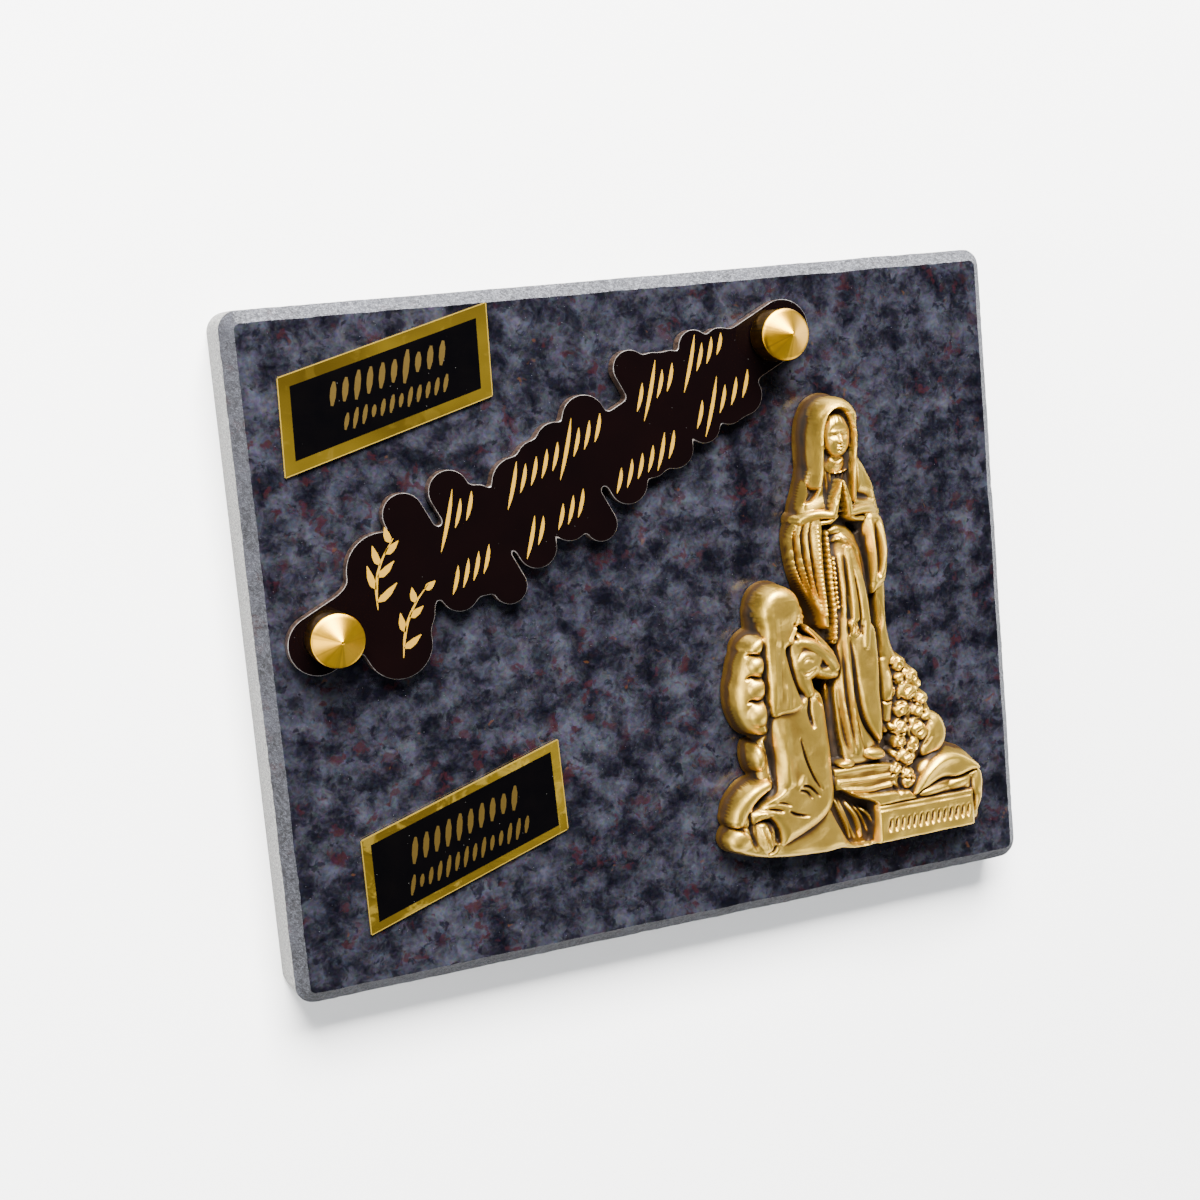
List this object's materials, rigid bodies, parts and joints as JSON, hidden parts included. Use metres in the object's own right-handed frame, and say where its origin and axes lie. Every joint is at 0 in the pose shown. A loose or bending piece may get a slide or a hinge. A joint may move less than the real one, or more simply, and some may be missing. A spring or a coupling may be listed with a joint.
{
  "type": "granite grave plaque",
  "caption": "Small polished granite grave plaque with a cast bronze relief of two veiled figures, a scalloped inscription plate on brass caps and foil stickers.",
  "frame": {"origin": "middle of the slab's underside, on which the plaque lies", "axes": "+X along the plaque's width to a viewer's right, +Y up its face to the top edge, +Z out of the polished face"},
  "size_m": [0.12, 0.0982, 0.0196],
  "materials": {
    "granite": "polished face, rough-ground arris",
    "acrylic": "gloss black-brown with gold script strokes",
    "brass": "turned and polished",
    "bronze": "antique gold, darkened in the recesses",
    "foil": "metallised gold foil with a dark field"
  },
  "bodies": {
    "root": {"granite_slab": "granite", "inscription_plate": "acrylic", "cap_left": "brass", "cap_right": "brass", "bronze_relief": "bronze", "sticker_upper": "foil", "sticker_lower": "foil"}
  },
  "joints": []
}
